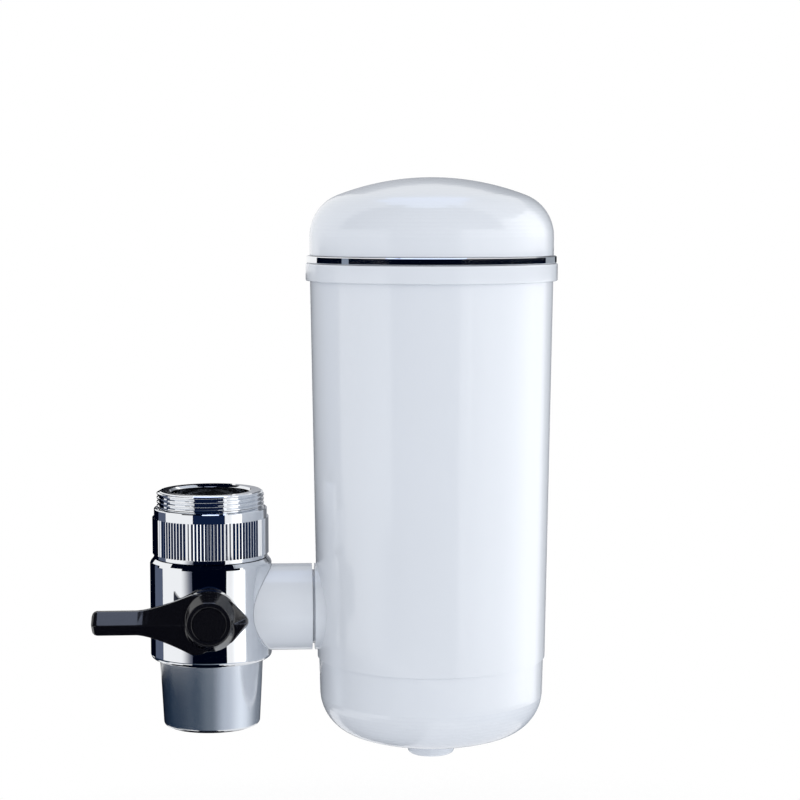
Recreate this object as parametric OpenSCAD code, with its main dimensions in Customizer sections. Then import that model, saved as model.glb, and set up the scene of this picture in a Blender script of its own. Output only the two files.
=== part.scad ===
// Tap-mounted water filter: a chromed diverter valve that hangs from the spout,
// and a white filter housing that swivels on the valve's side outlet.
// +X runs from the valve to the filter, -Y is the lever side, +Z is up.
// The origin is on the spout's axis, at the top face of the spout adapter.

/* [Spout adapter] */
// Diameter over the crests of the inside thread that takes the spout
spout_thread_d = 20.9; // [18:0.1:21.4]
// Length of the inside thread
spout_thread_h = 7; // [5:0.5:8]
// Wall between the two threads' crests
adapter_wall = 3.55; // [3.2:0.05:4]
// Pitch of the outside thread
adapter_pitch = 1.1; // [0.9:0.1:1.4]
// Thickness of the ledge under the spout gasket
adapter_ledge = 1.5; // [1:0.1:3]
// Bore of the water way through the adapter and its gaskets
water_bore_d = 16.8; // [14:0.1:18]
// Thickness of the spout gasket
spout_gasket_t = 1.4; // [1:0.1:2]

/* [Coupling nut] */
// Length of adapter thread that shows above the nut
thread_shown = 4.5; // [2:0.1:5]
// Wall of the plain collar at the top of the nut
nut_wall = 0.75; // [0.6:0.05:1.4]
// Height of the collar
nut_collar_h = 2.45; // [1.5:0.05:3.5]
// How far the knurl and the plain lands beside it stand out from the collar
knurl_proud = 0.45; // [0.3:0.05:1]
// Depth of the knurl
knurl_depth = 0.4; // [0.2:0.05:0.6]
// Ribs in each of the two knurled panels
knurl_ribs = 35; // [16:1:40]
// Angle that each knurled panel covers
knurl_angle = 124; // [90:1:150]
// Height of the plain band under the knurl
nut_foot_h = 1.1; // [0.6:0.1:2]
// How far that band steps in from the lands
nut_foot_inset = 0.35; // [0.2:0.05:0.8]

/* [Diverter body] */
// Diameter of the body
body_d = 31.8; // [31:0.1:34]
// Height of the body
body_h = 26.6; // [26:0.1:32]
// Width of the bevel round the body's top
body_bevel = 0.9; // [0.4:0.1:1.4]
// Height of that bevel
body_bevel_h = 1.4; // [0.8:0.1:2]
// Rounding of the body's lower edge
body_foot_round = 1.3; // [0.5:0.1:1.6]
// Width of the step from the adapter's crests in to the neck inside the nut
neck_step = 2.5; // [2.2:0.1:3]
// Height of the neck above the body
neck_h = 5.6; // [5:0.1:7]
// Thickness of the coupling gasket
coupling_gasket_t = 2; // [1.5:0.1:3]
// Wire diameter of the ring that keeps the nut on the neck
ring_wire_d = 1.5; // [1:0.1:1.6]
// Distance from the body's top to the axis of the valve
valve_drop = 13.6; // [13:0.1:15]

/* [Valve] */
// Length of the rotating spool
spool_l = 18; // [16:0.1:19]
// Bore of the three ports in the spool
port_d = 7; // [6.4:0.1:7.4]
// Wall of the two seat seals
seat_wall = 1.05; // [0.8:0.05:1.3]
// Diameter of the stem
stem_d = 8; // [7.4:0.1:9]
// How far the corners of the stem's square end lie inside its round
stem_corner = 0.32; // [0.1:0.02:0.6]
// Thickness of the screwed bonnet
bonnet_t = 4.2; // [3:0.1:4.4]
// Depth of the bonnet's face behind the body's front
bonnet_inset = 2.1; // [1.6:0.1:3]

/* [Lever] */
// Reach of the handle from the valve axis
handle_reach = 29.6; // [24:0.1:40]
// Height of the handle
handle_h = 6.2; // [5:0.1:8]
// Thickness of the lever's arms at their edges
lever_t = 1.5; // [1:0.1:3]
// Height of the ridge over the arms' edges
lever_ridge = 3.7; // [2:0.1:4]
// Length over which the handle widens towards the hub
flare_l = 10.3; // [6:0.1:12]
// Half the lever's height over its upper lobe
upper_lobe = 7; // [6:0.1:9]
// Half the lever's height over its lower lobe
lower_lobe = 8.4; // [7:0.1:10]
// Diameter of the hub at its back
hub_d = 15.6; // [15.4:0.1:18]
// Width of the cone round the hub's flat front
hub_cone = 2.2; // [1.6:0.1:3]
// Length of the hub
hub_l = 7.6; // [7:0.1:9]
// Length of the hub's plain side behind the cone
hub_side = 3; // [1:0.1:4]
// Length of the pointer beyond the hub
pointer_l = 2.2; // [1.4:0.1:4]
// Width of the hub's flat front round the screw's cap
hub_rim = 1.4; // [0.8:0.1:1.8]
// Length of the screw's thread in the stem
screw_grip = 8; // [5:0.5:9]

/* [Aerator] */
// How far the shell widens from its foot to its top
aerator_flare = 0.9; // [0.4:0.1:1.6]
// Diameter of the shell at its foot
aerator_foot_d = 25.3; // [25:0.1:27]
// Height of the shell
aerator_h = 17.8; // [16:0.1:24]
// Wall of the shell at its foot, round the stub that carries it
aerator_wall = 1.25; // [1:0.05:1.6]
// Length of the stub
stub_h = 6.6; // [5:0.1:8]
// Bars each way in the outlet grid
grid_bars = 9; // [5:2:13]

/* [Side outlet] */
// Outside diameter of the white sleeve and of the housing's inlet
sleeve_d = 22.7; // [21:0.1:24]
// Distance from the spout axis to the end of the sleeve
sleeve_reach = 26.5; // [25:0.1:32]
// Gap between the sleeve and the housing's inlet
swivel_gap = 0.7; // [0.5:0.05:1]
// Thickness of the nipple's flange
nipple_flange_t = 2; // [1.5:0.1:3]
// Wall of the sleeve round that flange
sleeve_wall = 1.85; // [1.4:0.05:2.4]
// Wall of the housing's inlet round the nipple that the filter turns on
inlet_wall = 4.45; // [4:0.05:5]
// Step from the inlet's outside in to the collar that shows in the gap
inlet_step = 1.65; // [1:0.05:2]
// Wall of the nipple
nipple_wall = 2.5; // [2:0.1:3]
// How far the nipple's screwed end stands out from its spigot
nipple_step = 0.6; // [0.4:0.1:1]

/* [Filter housing] */
// Diameter of the housing under its flange
housing_top_d = 63.5; // [60:0.1:70]
// Diameter of the housing at the seam
housing_foot_d = 60.2; // [57:0.1:66]
// Length of the housing from the seam to the flange
housing_l = 99.1; // [90:0.1:120]
// Wall of the housing at the seam
housing_wall = 2.5; // [2:0.1:3.4]
// Height of the flange
flange_h = 4.5; // [3:0.1:7]
// How far the flange stands out from the housing
flange_proud = 1.15; // [0.6:0.05:2]
// Height of the inlet's lower edge above the seam
inlet_gap = 1.85; // [1.4:0.05:4]
// How far the inlet stands out from the housing
inlet_proud = 0.55; // [0.4:0.05:4]
// Wall of the mouth that takes the lid
mouth_wall = 3.85; // [3.4:0.05:5]

/* [Lid] */
// How far the lid stands out from the housing's side
lid_proud = 0.1; // [0:0.05:0.6]
// Height of the lid above the trim ring
lid_h = 20.3; // [18:0.1:30]
// Wall of the lid and of the bottom cap
dome_wall = 2.5; // [1.8:0.1:3]
// Radius of the rounded shoulder
shoulder_r = 11.5; // [8:0.1:13]
// Radius of the shallow crown
crown_r = 68; // [55:1:90]
// How far the chromed trim ring stands out from the housing's side
trim_proud = 0.85; // [0.3:0.05:1.5]
// Height of the trim ring
trim_h = 1.85; // [1.2:0.05:3]
// Depth of the threaded skirt below the trim ring
skirt_h = 11; // [10:0.1:14]
// Pitch of the skirt's thread crests
skirt_pitch = 2; // [1.5:0.1:2.5]

/* [Bottom cap] */
// How far the cap steps in from the housing at the seam
cap_inset = 0.4; // [0.2:0.05:1]
// How far the cap's side leans in down to its shoulder
cap_lean = 0.25; // [0.1:0.05:1]
// Height of the cap below the seam
cap_h = 23.5; // [20:0.1:30]
// Diameter of the outlet nozzle
nozzle_d = 12.2; // [11.5:0.1:16]
// Wall of the outlet nozzle
nozzle_wall = 2.5; // [2:0.1:3.2]
// How far the nozzle stands out below the cap
nozzle_proud = 3; // [2:0.1:8]

/* [Cartridge] */
// Water gap between the cartridge case and the housing's bore
water_gap = 3.6; // [3.4:0.1:5]
// Wall of the case
case_wall = 1.3; // [1:0.1:2]
// Height of the sump between the cap's floor and the case
sump_h = 11; // [10:0.1:14]
// Length of the spigot under the case
case_spigot_l = 7.4; // [6.6:0.1:7.8]
// Diameter of the spigot under the cartridge
case_spigot_d = 14.2; // [13:0.1:15]
// Inlet slots in the cartridge's top
inlet_slots = 12; // [6:1:16]

/* [Hidden] */
$fn = 96;

chrome = "#c9ced6";
white = "#eef1f6";
black = "#15161a";
rubber = "#26272b";
brass = "#c8a860";
steel = "#a9adb3";
acetal = "#e6e3da";
carbon = "#2c2c2e";
fleece = "#f4f4ee";

// Small overlap that makes a cut pass right through a face
cut = 0.5;
// Radial clearance of a turning fit
run_fit = 0.08;
// Clearance between still pieces
still_fit = 0.05;
// Clearance of a seal ring on each side
seal_fit = 0.02;
// Points on each rounded profile stretch
round_steps = 10;

// Diameters that follow from the spout's thread outwards
adapter_d = spout_thread_d + 2 * adapter_wall;
nut_collar_d = adapter_d + 2 * nut_wall;
nut_d = nut_collar_d + 2 * knurl_proud;
nut_foot_d = nut_d - 2 * nut_foot_inset;
neck_d = adapter_d - 2 * neck_step;
stub_d = aerator_foot_d - 2 * aerator_wall;
aerator_top_d = aerator_foot_d + 2 * aerator_flare;

// Heights, from the top face of the adapter down
relief_h = spout_gasket_t + 0.1;
adapter_h = spout_thread_h + relief_h + adapter_ledge;
neck_top = -adapter_h - coupling_gasket_t;
body_top = neck_top - neck_h;
body_foot = body_top - body_h;
valve_z = body_top - valve_drop;
aerator_foot = body_foot - aerator_h;
stub_foot = body_foot - stub_h;

// Coupling nut
nut_top = -thread_shown;
nut_foot = body_top + 0.1;
nut_bore_r = adapter_d / 2 + run_fit;
ring_groove_r = neck_d / 2 - 0.4;
ring_r = ring_groove_r + 0.05 + ring_wire_d / 2;
ring_z = neck_top - 0.75 - ring_wire_d / 2;
ring_groove_h = ring_wire_d + 0.2;
nut_shelf = ring_z - ring_wire_d / 2 - 0.1;
knurl_top = nut_top - nut_collar_h;
knurl_foot = nut_foot + nut_foot_h;
spout_relief_r = spout_thread_d / 2 + 0.75;
thread_depth = 0.55 * adapter_pitch;

// Valve, along Y. The spool is as large as lets its two seats lie side by side
seat_d = port_d + 2 * seat_wall;
spool_d = sqrt(2) * (seat_d + 2 * still_fit) + 0.1;
chamber_r = spool_d / 2 + run_fit / 2;
bonnet_back = bonnet_inset + bonnet_t - body_d / 2;
spool_front = bonnet_back + 0.1;
spool_back = spool_front + spool_l;
bonnet_r = chamber_r + 0.75;
seat_depth = chamber_r + 3;
stem_square = (stem_d - 2 * stem_corner) / sqrt(2);
hub_face_d = hub_d - 2 * hub_cone;
lever_cap_d = hub_face_d - 2 * hub_rim;
pointer_reach = hub_d / 2 + pointer_l;
hub_back = -body_d / 2 - 0.45;
hub_face = hub_back - hub_l;
arm_edge = hub_face + lever_ridge;
arm_back = arm_edge + lever_t;
stem_bore_r = stem_d / 2 + run_fit;
stem_o_ring_d = 1;
stem_groove_y = bonnet_back - bonnet_t / 2;
screw_d = 3;
screw_head_d = 6;
screw_head_t = 1.1;
lever_cap_t = 0.7;
screw_seat = hub_face + lever_cap_t + screw_head_t + 0.1;
socket_end = screw_seat + 0.8;
stem_end = socket_end + 0.1;

// Side outlet, along X
spigot_d = sleeve_d - 2 * inlet_wall;
nipple_bore_d = spigot_d - 2 * nipple_wall;
nipple_thread_d = spigot_d + 2 * nipple_step;
flange_pocket_r = sleeve_d / 2 - sleeve_wall;
nipple_flange_r = flange_pocket_r - 0.2;
nipple_start = seat_depth + 0.2;
flange_x = sleeve_reach - nipple_flange_t - 0.2;
inlet_face = sleeve_reach + swivel_gap;
inlet_bore_r = spigot_d / 2 + run_fit;

// Filter
inlet_rise = sleeve_d / 2 + inlet_gap;
mouth_d = housing_top_d - 2 * mouth_wall;
seam_z = valve_z - inlet_rise;
flange_foot = seam_z + housing_l;
housing_top = flange_foot + flange_h;
housing_slope = (housing_top_d - housing_foot_d) / 2 / housing_l;
function housing_r(z) = housing_foot_d / 2 + (z - seam_z) * housing_slope;
filter_x = inlet_face + inlet_proud + housing_r(valve_z);
bore_foot_r = housing_foot_d / 2 - housing_wall;
mouth_foot = flange_foot - skirt_h + 1;
clip_t = 0.9;
clip_r = spigot_d / 2 + 1.7;
land_r = clip_r + 1.4;
clip_groove_r = spigot_d / 2 - 0.9;
clip_x = filter_x - bore_r(valve_z) + 1.4;
nipple_end = clip_x + clip_t + 0.5;
nipple_o_ring_d = 1.25;
function bore_r(z) = bore_foot_r + (z - seam_z) * (mouth_d / 2 - bore_foot_r) / (mouth_foot - seam_z);

// Lid and trim ring
lid_d = housing_top_d + 2 * lid_proud;
trim_d = housing_top_d + 2 * trim_proud;
trim_foot = housing_top + 0.1;
trim_top = trim_foot + trim_h;
lid_foot = trim_top + 0.05;
lid_top = lid_foot + lid_h;
skirt_r = mouth_d / 2 - 0.2;
skirt_foot = trim_foot - skirt_h;
skirt_wall = 2.4;
skirt_depth = 0.75;
lid_o_ring_d = 1.7;
lid_groove_z = trim_foot - 1.9;

// Bottom cap and nozzle
cap_d = housing_foot_d - 2 * cap_inset;
cap_low_d = cap_d - 2 * cap_lean;
cap_foot = seam_z - cap_h;
collar_top = valve_z - land_r - 0.2;
nozzle_bore_d = nozzle_d - 2 * nozzle_wall;
nozzle_foot = cap_foot - nozzle_proud;
socket_r = case_spigot_d / 2 + 0.2;
socket_wall = 2.7;

// Cartridge
case_floor = 2;
case_top_t = 2.5;
case_d = 2 * (min(bore_foot_r, mouth_d / 2) - water_gap);
case_top = skirt_foot - 0.3 - case_top_t;
case_foot = cap_foot + dome_wall + sump_h;
fleece_t = 1.5;
media_foot = case_foot + case_floor + fleece_t;
media_top = case_top - fleece_t;
case_o_ring_d = 1.8;
case_o_ring_z = case_foot - 4;
knob_r = 6;
knob_h = 4;

// Points of a circle's arc in a profile
function arc(cx, cz, r, from, to, n = round_steps) =
    [for (i = [0:n]) let (a = from + (to - from) * i / n) [cx + r * cos(a), cz + r * sin(a)]];

// Height of the shoulder's centre below the top of a dome
function shoulder_drop(r, rs, rc) = rc - sqrt(pow(rc - rs, 2) - pow(r - rs, 2));

// Outline of a dome from its side to its top on the axis
function dome(r, top, rs, rc, n = 14) =
    let (cz = top - shoulder_drop(r, rs, rc), lean = asin((r - rs) / (rc - rs)))
    concat(
        arc(r - rs, cz, rs, 0, 90 - lean, n),
        [for (i = [1:n]) let (a = lean * (1 - i / n)) [rc * sin(a), top - rc + rc * cos(a)]]
    );

// Root of a seal ring's groove, and the ring's centre, for the bore it seals
function seal_root(bore_r, wire_d) = bore_r - wire_d - 2 * seal_fit;
function seal_r(bore_r, wire_d) = bore_r - wire_d / 2 - seal_fit;

// Crests and roots of a thread, from its top down
function thread(r, depth, top, pitch, n) =
    [for (i = [0:n - 1], p = [[r, top - i * pitch], [r - depth, top - (i + 0.5) * pitch]]) p];

// A turned ring with a plain section
module ring(inner, outer, from, to) {
    translate([0, 0, min(from, to)])
        difference() {
            cylinder(r = outer, h = abs(to - from));
            translate([0, 0, -cut])
                cylinder(r = inner, h = abs(to - from) + 2 * cut);
        }
}

// A ring of round section
module o_ring(centre_r, wire_d) {
    rotate_extrude()
        translate([centre_r, 0])
            circle(d = wire_d, $fn = 32);
}

// Turns a Z-up shape so that its +Z points along +X or +Y
module along_x() {
    rotate([0, 90, 0])
        children();
}

module along_y() {
    rotate([-90, 0, 0])
        children();
}

// A plain bore or shaft along X, Y or Z between two places
module x_rod(r, from, to) {
    translate([min(from, to), 0, valve_z])
        along_x()
            cylinder(r = r, h = abs(to - from));
}

module y_rod(r, from, to) {
    translate([0, min(from, to), valve_z])
        along_y()
            cylinder(r = r, h = abs(to - from));
}

module z_rod(r, from, to) {
    translate([0, 0, min(from, to)])
        cylinder(r = r, h = abs(to - from));
}

module at_filter() {
    translate([filter_x, 0, 0])
        children();
}

module spout_adapter() {
    crests = floor((adapter_h - 1.4) / adapter_pitch);
    crest_r = adapter_d / 2;
    color(chrome)
        difference() {
            rotate_extrude()
                polygon(concat(
                    [[0, 0], [crest_r - thread_depth, 0]],
                    thread(crest_r, thread_depth, -0.5, adapter_pitch, crests),
                    [[crest_r - thread_depth, -adapter_h], [0, -adapter_h]]
                ));
            z_rod(spout_thread_d / 2, cut, -spout_thread_h - cut);
            z_rod(spout_relief_r, -spout_thread_h, -spout_thread_h - relief_h);
            z_rod(water_bore_d / 2, cut, -adapter_h - cut);
        }
}

module spout_gasket() {
    foot = -spout_thread_h - relief_h;
    color(rubber)
        ring(water_bore_d / 2 + 0.1, spout_relief_r - still_fit, foot, foot + spout_gasket_t);
}

module coupling_gasket() {
    color(rubber)
        ring(water_bore_d / 2 - 0.2, neck_d / 2 - 0.2, neck_top, neck_top + coupling_gasket_t);
}

// The grooves of the knurled panels at the front and the back
module knurl_grooves() {
    step = knurl_angle / knurl_ribs;
    tip_r = nut_d / 2 - knurl_depth;
    mouth_r = nut_d / 2 + 0.1;
    translate([0, 0, knurl_foot - 0.3])
        linear_extrude(height = knurl_top - knurl_foot)
            for (turn = [90, 270], i = [0:knurl_ribs - 1])
                rotate(turn - knurl_angle / 2 + (i + 0.5) * step)
                    polygon([
                        [tip_r, 0], mouth_r * [cos(0.42 * step), sin(0.42 * step)],
                        mouth_r * [cos(0.42 * step), -sin(0.42 * step)]
                    ]);
}

module coupling_nut() {
    foot_r = nut_foot_d / 2;
    band_r = nut_d / 2;
    collar_r = nut_collar_d / 2;
    bevel = 0.2;
    color(chrome)
        difference() {
            rotate_extrude()
                polygon([
                    [0, nut_foot], [foot_r - bevel, nut_foot], [foot_r, nut_foot + bevel], [foot_r, knurl_foot],
                    [band_r - bevel, knurl_foot], [band_r, knurl_foot + bevel], [band_r, knurl_top - bevel],
                    [band_r - bevel, knurl_top], [collar_r, knurl_top], [collar_r, nut_top - bevel],
                    [collar_r - bevel, nut_top], [0, nut_top]
                ]);
            z_rod(nut_bore_r, nut_top + cut, nut_shelf);
            z_rod(neck_d / 2 + run_fit, nut_top, nut_foot - cut);
            knurl_grooves();
        }
}

// A split wire ring, with its gap at the back
module nut_retaining_ring() {
    gap = 24;
    color(steel)
        translate([0, 0, ring_z])
            rotate(90 + gap / 2)
                rotate_extrude(angle = 360 - gap)
                    translate([ring_r, 0])
                        circle(d = ring_wire_d, $fn = 32);
}

module diverter_body() {
    r = body_d / 2;
    color(chrome)
        difference() {
            rotate_extrude()
                polygon(concat(
                    [[0, stub_foot], [stub_d / 2 - 0.5, stub_foot], [stub_d / 2, stub_foot + 0.5],
                     [stub_d / 2, body_foot]],
                    arc(r - body_foot_round, body_foot + body_foot_round, body_foot_round, -90, 0),
                    [[r, body_top - body_bevel_h], [r - 0.2, body_top - body_bevel], [r - body_bevel, body_top],
                     [neck_d / 2, body_top], [neck_d / 2, ring_z - ring_groove_h / 2],
                     [ring_groove_r, ring_z - ring_groove_h / 2], [ring_groove_r, ring_z + ring_groove_h / 2],
                     [neck_d / 2, ring_z + ring_groove_h / 2], [neck_d / 2, neck_top], [0, neck_top]]
                ));
            // Water way down from the neck into the valve chamber
            z_rod(water_bore_d / 2 - 1.4, neck_top + cut, valve_z);
            // Valve chamber and the bonnet's thread, open at the front
            y_rod(chamber_r, spool_back + 0.1, -r - cut);
            y_rod(bonnet_r, bonnet_back, -r - cut);
            // Straight outlet with the pocket of its seat
            z_rod(seat_d / 2 + still_fit, valve_z, valve_z - seat_depth);
            z_rod(port_d / 2, valve_z, stub_foot - cut);
            // Side outlet with the pocket of its seat and the nipple's thread
            x_rod(seat_d / 2 + still_fit, 0, seat_depth);
            x_rod(port_d / 2, 0, r);
            x_rod(nipple_thread_d / 2 + still_fit, nipple_start - 0.1, r + cut);
        }
}

module valve_spool() {
    color(acetal)
        difference() {
            union() {
                y_rod(spool_d / 2, spool_back, spool_front);
                y_rod(stem_d / 2, spool_front + cut, hub_back + 0.3);
                translate([0, stem_end, valve_z])
                    along_y()
                        translate([-stem_square / 2, -stem_square / 2, 0])
                            cube([stem_square, stem_square, spool_front - stem_end]);
            }
            // Three ports: up to the spout, and to both sides
            z_rod(port_d / 2, valve_z, valve_z + spool_d);
            x_rod(port_d / 2, -spool_d, spool_d);
            // Groove of the stem's seal
            difference() {
                y_rod(stem_d, stem_groove_y - 0.6, stem_groove_y + 0.6);
                y_rod(seal_root(stem_bore_r, stem_o_ring_d), stem_groove_y - 1, stem_groove_y + 1);
            }
            // Thread of the lever's screw
            y_rod(screw_d / 2 + still_fit, stem_end - cut, stem_end + screw_grip + 1);
        }
}

// A seat seal whose end is hollowed to lie round the spool
module seat_seal() {
    difference() {
        ring(port_d / 2, seat_d / 2, 0, seat_depth);
        along_y()
            translate([0, 0, -spool_d])
                cylinder(r = chamber_r, h = 2 * spool_d);
    }
}

module outlet_seat_seal() {
    color(fleece)
        translate([0, 0, valve_z])
            mirror([0, 0, 1])
                seat_seal();
}

module filter_seat_seal() {
    color(fleece)
        translate([0, 0, valve_z])
            along_x()
                seat_seal();
}

module stem_o_ring() {
    color(rubber)
        translate([0, stem_groove_y, valve_z])
            along_y()
                o_ring(seal_r(stem_bore_r, stem_o_ring_d), stem_o_ring_d);
}

// A screwed ring with two slots for a pin spanner
module valve_bonnet() {
    color(brass)
        difference() {
            y_rod(bonnet_r - still_fit, bonnet_back, bonnet_back - bonnet_t);
            y_rod(stem_bore_r, bonnet_back + cut, bonnet_back - bonnet_t - cut);
            translate([0, bonnet_back - bonnet_t, valve_z])
                cube([2 * bonnet_r + cut, 2, 1.6], center = true);
        }
}

// A solid between sections that have the same number of points each
module loft(sections) {
    n = len(sections[0]);
    last = len(sections) - 1;
    polyhedron(
        points = [for (section = sections, point = section) point],
        faces = concat(
            [[for (i = [0:n - 1]) i]],
            [for (s = [0:last - 1], i = [0:n - 1], first = [true, false])
                let (a = s * n + i, b = s * n + (i + 1) % n)
                first ? [a, a + n, b] : [b, a + n, b + n]],
            [[for (i = [n - 1:-1:0]) last * n + i]]
        )
    );
}

// The arms' section at x: a ridge between an upper and a lower edge
function arm_section(x, upper, lower, set_back) = [
    [x, arm_back, -lower], [x, arm_back, upper], [x, arm_edge, upper],
    [x, hub_face + 0.3 + set_back, 0], [x, arm_edge, -lower]
];

// Half the arm's height at x, where the handle widens to a lobe
function arm_half(x, from, to, lobe) =
    handle_h / 2 + (lobe - handle_h / 2) * pow(max(0, min(1, (x - from) / (to - from))), 1.4);

// Handle, two lobes and pointer, as sections from the handle's end to the pointer's tip
module lever_arms() {
    r = hub_d / 2;
    low = handle_h / 2;
    end_r = 1.4;
    from = -r - flare_l;
    to = -0.58 * r;
    steps = 9;
    tip_r = 1.7;
    tip_x = pointer_reach - tip_r;
    lean = acos((r - tip_r) / tip_x);
    inside = r - 0.6;
    translate([0, 0, valve_z])
        loft(concat(
            [for (a = [0:30:90])
                let (half = low - end_r * (1 - sin(a)))
                arm_section(end_r * (1 - cos(a)) - handle_reach, half, half, 1.2 * (1 - sin(a)))],
            [for (i = [0:steps])
                let (x = from + (to - from) * i / steps)
                arm_section(x, arm_half(x, from, to, upper_lobe), arm_half(x, from, to, lower_lobe), 0)],
            [arm_section(to * 0.7, upper_lobe, lower_lobe + 0.1, 0), arm_section(to * 0.4, inside, lower_lobe - 0.2, 0),
             arm_section(0, inside, inside, 0), arm_section(r * cos(lean), r * sin(lean), r * sin(lean), 0.2)],
            [for (a = [lean, lean / 2, 10])
                arm_section(tip_x + tip_r * cos(a), tip_r * sin(a), tip_r * sin(a), 2.4 - 1.6 * a / lean)]
        ));
}

module lever() {
    color(black)
        difference() {
            union() {
                lever_arms();
                y_rod(hub_d / 2, hub_back, hub_back - hub_side);
                translate([0, hub_back - hub_side, valve_z])
                    rotate([90, 0, 0])
                        cylinder(r1 = hub_d / 2, r2 = hub_face_d / 2, h = hub_l - hub_side);
            }
            // Square socket, screw hole, and pockets of the screw's head and the cap
            translate([-stem_square / 2 - still_fit, socket_end, valve_z - stem_square / 2 - still_fit])
                cube([stem_square + 2 * still_fit, hub_back - socket_end + cut, stem_square + 2 * still_fit]);
            y_rod(screw_d / 2 + 0.2, hub_back, hub_face);
            y_rod(screw_head_d / 2 + 0.2, screw_seat, hub_face - cut);
            y_rod(lever_cap_d / 2 + still_fit, hub_face + lever_cap_t, hub_face - cut);
        }
}

module lever_screw() {
    color(steel)
        difference() {
            union() {
                y_rod(screw_head_d / 2, screw_seat, screw_seat - screw_head_t);
                y_rod(screw_d / 2, screw_seat - 0.5, stem_end + screw_grip);
            }
            for (turn = [0, 90])
                translate([0, screw_seat - screw_head_t, valve_z])
                    rotate([0, turn, 0])
                        cube([3.4, 1.2, 0.8], center = true);
        }
}

module lever_cap() {
    color(black)
        y_rod(lever_cap_d / 2, hub_face + lever_cap_t, hub_face);
}

module aerator_shell() {
    wall_r = stub_d / 2 + still_fit;
    lip = 1;
    color(chrome)
        difference() {
            rotate_extrude()
                polygon(concat(
                    [[0, aerator_foot]],
                    arc(aerator_foot_d / 2 - 0.9, aerator_foot + 0.9, 0.9, -90, 0, 6),
                    [[aerator_top_d / 2, body_foot - 0.05], [0, body_foot - 0.05]]
                ));
            z_rod(wall_r, body_foot + cut, stub_foot - 1);
            z_rod(wall_r - 0.6, body_foot, aerator_foot + lip);
            z_rod(wall_r - 1.4, body_foot, aerator_foot - cut);
        }
}

module aerator_gasket() {
    color(rubber)
        ring(port_d / 2 + 2, stub_d / 2 - 0.2, stub_foot - 1, stub_foot);
}

// A plastic cup with a grid across its foot and four windows under its rim
module aerator_insert() {
    outer = stub_d / 2 - 0.6;
    foot = aerator_foot + 1;
    top = stub_foot - 1;
    grid_t = 1.6;
    pitch = 2 * outer / (grid_bars + 1);
    color(acetal)
        union() {
            difference() {
                ring(outer - 1.4, outer, foot, top);
                for (turn = [0, 90])
                    translate([0, 0, top - 3])
                        rotate(turn)
                            cube([2 * outer + cut, 5, 2], center = true);
            }
            intersection() {
                z_rod(outer - 1, foot, foot + grid_t);
                union() {
                    for (turn = [0, 90], i = [1:grid_bars])
                        rotate(turn)
                            translate([-outer, -outer + i * pitch - 0.35, foot])
                                cube([2 * outer, 0.7, grid_t]);
                }
            }
        }
}

module side_nipple() {
    groove_w = nipple_o_ring_d + 0.2;
    color(brass)
        difference() {
            union() {
                x_rod(nipple_thread_d / 2, nipple_start, flange_x + cut);
                x_rod(nipple_flange_r, flange_x, flange_x + nipple_flange_t);
                x_rod(spigot_d / 2, flange_x, nipple_end);
            }
            x_rod(nipple_bore_d / 2, nipple_start - cut, nipple_end + cut);
            for (x = nipple_o_ring_places())
                x_groove(seal_root(inlet_bore_r, nipple_o_ring_d), x - groove_w / 2, groove_w);
            x_groove(clip_groove_r, clip_x - still_fit, clip_t + 2 * still_fit);
            // Slot of a wide screwdriver
            translate([nipple_end, 0, valve_z])
                cube([1.6, 1.6, spigot_d], center = true);
        }
}

// Where the two seals lie in the housing's inlet
function nipple_o_ring_places() =
    let (span = clip_x - inlet_face) [inlet_face + span * 0.28, inlet_face + span * 0.7];

module x_groove(r, from, width) {
    difference() {
        x_rod(spigot_d, from, from + width);
        x_rod(r, from - 1, from + width + 1);
    }
}

// The white sleeve: its end is hollowed to lie round the valve's body
module side_sleeve() {
    color(white)
        difference() {
            x_rod(sleeve_d / 2, 0, sleeve_reach);
            z_rod(body_d / 2 + still_fit, body_foot - cut, body_top + cut);
            x_rod(nipple_thread_d / 2 + 0.1, 0, sleeve_reach);
            x_rod(flange_pocket_r, flange_x, sleeve_reach + cut);
        }
}

module nipple_o_rings() {
    color(rubber)
        for (x = nipple_o_ring_places())
            translate([x, 0, valve_z])
                along_x()
                    o_ring(seal_r(inlet_bore_r, nipple_o_ring_d), nipple_o_ring_d);
}

// A flat spring clip, open at its foot
module nipple_clip() {
    color(steel)
        difference() {
            x_rod(clip_r, clip_x, clip_x + clip_t);
            x_rod(clip_groove_r + still_fit, clip_x - cut, clip_x + clip_t + cut);
            translate([clip_x - cut, -clip_groove_r * 0.7, valve_z - 2 * clip_r])
                cube([clip_t + 2 * cut, clip_groove_r * 1.4, 2 * clip_r]);
        }
}

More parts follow.
